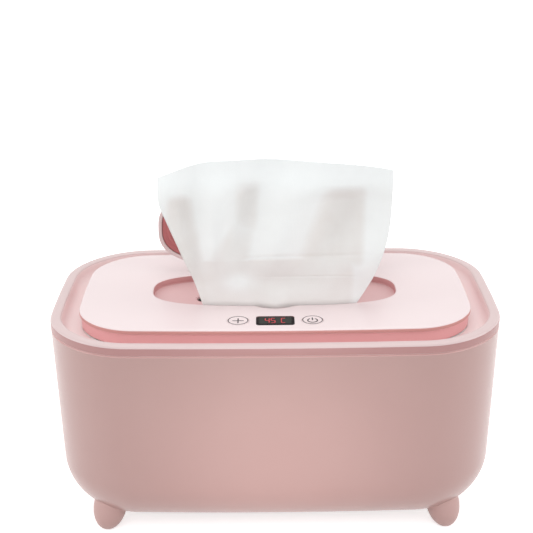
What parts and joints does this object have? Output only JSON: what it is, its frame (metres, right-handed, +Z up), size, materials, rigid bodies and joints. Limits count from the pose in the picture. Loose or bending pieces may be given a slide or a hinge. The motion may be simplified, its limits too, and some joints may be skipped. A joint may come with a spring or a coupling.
{
  "type": "baby wipe warmer",
  "caption": "Heated box for baby wipes: tapered tub on peg feet, sunk hinged lid, oval flip cap over a dispensing slot, keys and display, mains cord.",
  "frame": {"origin": "on the floor plane under the middle of the body, which is the bottom centre of the body's box without the free cord", "axes": "+Z up, front with the keys towards -Y, X along the width"},
  "size_m": [0.23, 0.2389, 0.1901],
  "materials": {
    "shell_abs": "satin moulded",
    "rim_abs": "satin moulded",
    "plate_abs": "satin moulded",
    "skirt_abs": "satin moulded",
    "insert_abs": "satin moulded",
    "foot_abs": "satin moulded",
    "rose_silicone": "matt moulded",
    "grey_rubber": "matt",
    "white_pp": "satin moulded",
    "aluminium": "rolled sheet",
    "heater_film": "smooth film",
    "foam": "felted",
    "zinc_steel": "zinc plated",
    "ceramic": "glazed",
    "black_plastic": "moulded",
    "red_wire": "extruded",
    "core_wire": "extruded",
    "circuit_board": "solder mask",
    "cord_pvc": "extruded and moulded PVC",
    "tie_wire": "extruded",
    "nickel_blade": "nickel plated",
    "smoked_window": "polished",
    "wipe_cloth": "embossed nonwoven"
  },
  "bodies": {
    "base": {"outer_shell": "shell_abs", "rim_ring": "rim_abs", "tank_liner": "white_pp", "heat_spreader": "aluminium", "heating_film": "heater_film", "insulation_pad": "foam", "heater_bracket": "zinc_steel", "bracket_screws": "zinc_steel", "thermal_cutout": "ceramic", "temperature_sensor": "black_plastic", "heater_wires": "red_wire", "power_board": "circuit_board", "power_board_parts": "black_plastic", "power_board_screws": "zinc_steel", "bottom_cover": "shell_abs", "cover_screws": "zinc_steel", "foot_front_left": "foot_abs", "foot_front_right": "foot_abs", "foot_back_left": "foot_abs", "foot_back_right": "foot_abs", "foot_pads": "grey_rubber", "foot_screws": "zinc_steel", "inner_cord": "cord_pvc", "mains_wires": "core_wire", "cord_clamp": "white_pp", "clamp_screws": "zinc_steel", "lid_hinge_pins": "zinc_steel", "cord_gland": "cord_pvc", "cord_lead": "cord_pvc", "cord_coil": "cord_pvc", "cord_tail": "cord_pvc", "cord_tie": "tie_wire", "plug_body": "cord_pvc", "plug_blades": "nickel_blade"},
    "lid": {"lid_plate": "plate_abs", "lid_frame": "skirt_abs", "lid_gasket": "grey_rubber", "lid_screws": "zinc_steel", "slot_insert": "insert_abs", "control_board": "circuit_board", "key_switches": "black_plastic", "display_module": "black_plastic", "display_window": "smoked_window", "cap_hinge_pins": "zinc_steel", "wipe": "wipe_cloth"},
    "cap": {"flip_cap": "rim_abs", "cap_inner_panel": "rose_silicone", "cap_seal": "rose_silicone"},
    "plus_button": {"plus_key": "plate_abs"},
    "power_button": {"power_key": "plate_abs"}
  },
  "joints": [
    {"name": "lid_hinge", "type": "hinge", "parent": "base", "child": "lid", "pos_m": [0, 0.0555, 0.1105], "axis": [-1, 0, 0], "range_deg": [0, 95]},
    {"name": "cap_hinge", "type": "hinge", "parent": "lid", "child": "cap", "pos_m": [0, 0.026, 0.1142], "axis": [1, 0, 0], "range_deg": [0, 105], "deforming": ["wipe"]},
    {"name": "plus_press", "type": "slide", "parent": "lid", "child": "plus_button", "axis": [0, 0, -1], "range_m": [0, 0.0008], "stiffness_N_per_m": 300},
    {"name": "power_press", "type": "slide", "parent": "lid", "child": "power_button", "axis": [0, 0, -1], "range_m": [0, 0.0008], "stiffness_N_per_m": 300}
  ]
}
